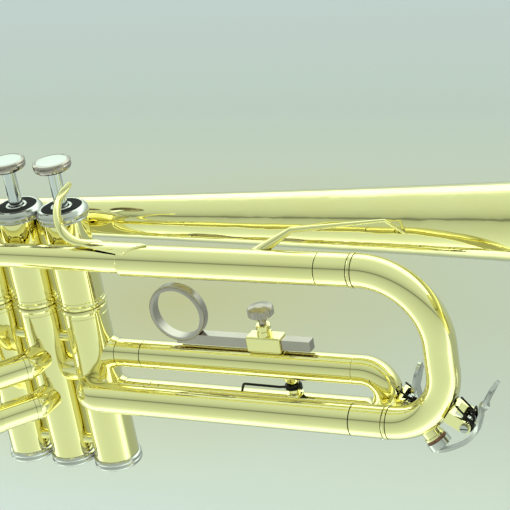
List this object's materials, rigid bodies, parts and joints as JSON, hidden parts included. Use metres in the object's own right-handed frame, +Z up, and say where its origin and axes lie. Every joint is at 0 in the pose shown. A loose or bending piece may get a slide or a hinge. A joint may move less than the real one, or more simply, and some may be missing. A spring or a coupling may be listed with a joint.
{
  "type": "trumpet",
  "caption": "Piston-valve trumpet with sprung valves, sliding tuning tubes, adjustable finger ring and two water keys.",
  "frame": {"origin": "on the middle valve's axis, at the lower face of its bottom cap", "axes": "+X towards the bell, +Y towards the bell side (the player's left), +Z up along the valves"},
  "size_m": [0.5543, 0.1377, 0.1781],
  "materials": {
    "lacquered_brass": "clear gold lacquer over polished brass",
    "nickel_plate": "polished nickel plate",
    "spring_steel": "bright drawn steel",
    "black_steel": "blackened steel",
    "monel": "lapped monel",
    "pearl": "white pearl inlay",
    "black_felt": "pressed wool felt",
    "guide_plastic": "moulded nylon",
    "silver_plate": "polished silver plate",
    "cork": "natural cork"
  },
  "bodies": {
    "body": {"valve_casing_1": "lacquered_brass", "valve_casing_2": "lacquered_brass", "valve_casing_3": "lacquered_brass", "casing_braces": "lacquered_brass", "intervalve_tubes": "lacquered_brass", "top_caps": "nickel_plate", "cap_felts": "black_felt", "bottom_caps": "nickel_plate", "valve_guides": "guide_plastic", "mouthpiece_receiver": "nickel_plate", "leadpipe": "lacquered_brass", "leadpipe_sleeve": "lacquered_brass", "lower_sleeve": "lacquered_brass", "finger_hook": "lacquered_brass", "bell": "lacquered_brass", "bell_bow": "lacquered_brass", "bell_tail": "lacquered_brass", "bell_brace_front": "lacquered_brass", "bell_brace_rear": "lacquered_brass", "third_slide_stubs": "lacquered_brass", "first_slide_stubs": "lacquered_brass", "second_slide_elbows": "lacquered_brass"},
    "mouthpiece": {"mouthpiece": "silver_plate"},
    "main_slide": {"tuning_slide_legs": "nickel_plate", "tuning_slide_ferrules": "lacquered_brass", "tuning_bow": "lacquered_brass", "water_key_seat": "lacquered_brass", "water_key_pin": "spring_steel", "water_key_spring": "black_steel"},
    "main_water_key": {"water_key_lever": "nickel_plate", "water_key_cork": "cork"},
    "third_slide": {"third_slide_sleeves": "lacquered_brass", "third_slide_bow": "lacquered_brass", "slide_brace": "lacquered_brass", "stop_wire": "black_steel", "ring_clamp": "lacquered_brass", "third_key_seat": "lacquered_brass", "third_key_pin": "spring_steel", "third_key_spring": "black_steel"},
    "third_water_key": {"third_key_lever": "nickel_plate", "third_key_cork": "cork"},
    "finger_ring": {"finger_ring": "nickel_plate"},
    "ring_screw": {"thumb_screw": "nickel_plate"},
    "first_slide": {"first_slide": "lacquered_brass", "thumb_saddle": "lacquered_brass"},
    "second_slide": {"second_slide": "lacquered_brass", "second_slide_knob": "lacquered_brass"},
    "valve_1": {"piston_1": "monel", "valve_spring_1": "spring_steel", "finger_button_1": "nickel_plate", "button_pearl_1": "pearl"},
    "valve_2": {"piston_2": "monel", "valve_spring_2": "spring_steel", "finger_button_2": "nickel_plate", "button_pearl_2": "pearl"},
    "valve_3": {"piston_3": "monel", "valve_spring_3": "spring_steel", "finger_button_3": "nickel_plate", "button_pearl_3": "pearl"}
  },
  "joints": [
    {"name": "valve_1_press", "type": "slide", "parent": "body", "child": "valve_1", "axis": [0, 0, -1], "range_m": [0, 0.0155], "stiffness_N_per_m": 120, "springref_m": -0.01, "deforming": ["valve_spring_1"]},
    {"name": "valve_2_press", "type": "slide", "parent": "body", "child": "valve_2", "axis": [0, 0, -1], "range_m": [0, 0.0155], "stiffness_N_per_m": 120, "springref_m": -0.01, "deforming": ["valve_spring_2"]},
    {"name": "valve_3_press", "type": "slide", "parent": "body", "child": "valve_3", "axis": [0, 0, -1], "range_m": [0, 0.0155], "stiffness_N_per_m": 120, "springref_m": -0.01, "deforming": ["valve_spring_3"]},
    {"name": "mouthpiece_pull", "type": "slide", "parent": "body", "child": "mouthpiece", "axis": [-1, 0, 0], "range_m": [0, 0.03]},
    {"name": "main_slide_pull", "type": "slide", "parent": "body", "child": "main_slide", "axis": [1, 0, 0], "range_m": [0, 0.045]},
    {"name": "main_water_key_press", "type": "hinge", "parent": "main_slide", "child": "main_water_key", "pos_m": [0.1973, -0.0164, 0.0468], "axis": [0, -1, 0], "range_deg": [0, 14]},
    {"name": "third_slide_pull", "type": "slide", "parent": "body", "child": "third_slide", "axis": [1, 0, 0], "range_m": [0, 0.025]},
    {"name": "third_water_key_press", "type": "hinge", "parent": "third_slide", "child": "third_water_key", "pos_m": [0.1669, 0.001, 0.0435], "axis": [0, -1, 0], "range_deg": [0, 12]},
    {"name": "ring_adjust", "type": "slide", "parent": "third_slide", "child": "finger_ring", "axis": [1, 0, 0], "range_m": [-0.01, 0.01]},
    {"name": "ring_screw_turn", "type": "hinge", "parent": "third_slide", "child": "ring_screw", "pos_m": [0.1068, 0.001, 0.075], "axis": [0, 0, 1], "continuous": true},
    {"name": "first_slide_pull", "type": "slide", "parent": "body", "child": "first_slide", "axis": [-1, 0, 0], "range_m": [0, 0.018]},
    {"name": "second_slide_pull", "type": "slide", "parent": "body", "child": "second_slide", "axis": [-0.6691, -0.7431, 0], "range_m": [0, 0.012]}
  ]
}
